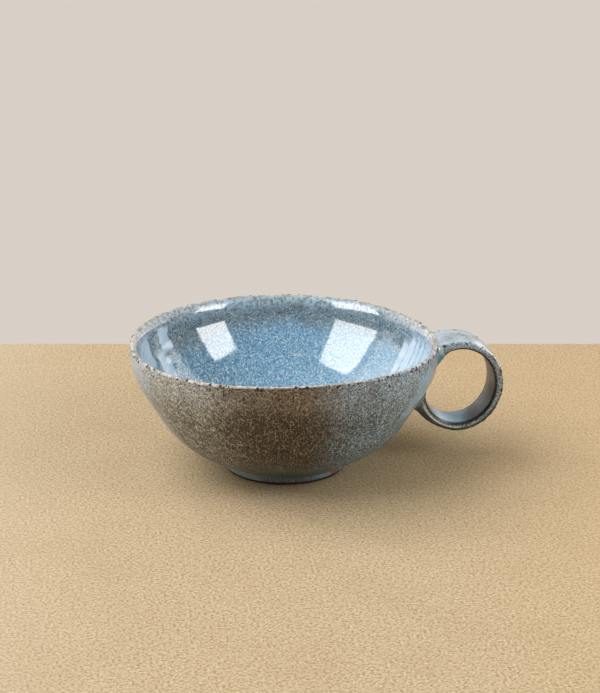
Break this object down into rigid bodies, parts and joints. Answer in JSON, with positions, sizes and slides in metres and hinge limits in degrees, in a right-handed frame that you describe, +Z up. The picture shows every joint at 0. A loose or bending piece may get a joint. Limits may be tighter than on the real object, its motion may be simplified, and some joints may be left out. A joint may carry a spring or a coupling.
{
  "type": "soup mug",
  "caption": "Wide, low stoneware soup mug with an upright thin lip, a glossy lined bowl, a narrow foot ring and a flat strap handle bent into a finger ring at one side.",
  "frame": {"origin": "centre of the foot ring's underside, on the bowl's axis, where the mug stands on the table", "axes": "+Z up along the bowl's axis, +X from the bowl towards the handle"},
  "size_m": [0.1717, 0.14, 0.061],
  "materials": {
    "stoneware": "bare fired clay, matt, with iron specks",
    "foot_clay": "turned clay with a thin blue-grey wash of glaze and a bare edge",
    "joint_slip": "slip under pooled glossy blue-grey glaze",
    "liner_glaze": "glossy blue glaze with fine pale speckle",
    "outer_glaze": "satin brown-grey glaze with dense pale speckle and iron spots under the lip",
    "handle_glaze": "satin blue-grey speckled glaze, with dark iron spots along the strap's edges"
  },
  "bodies": {
    "root": {"bowl": "stoneware", "foot_ring": "foot_clay", "handle": "stoneware", "upper_handle_joint": "joint_slip", "lower_handle_joint": "joint_slip", "liner_glaze": "liner_glaze", "outer_glaze": "outer_glaze", "handle_glaze": "handle_glaze"}
  },
  "joints": []
}
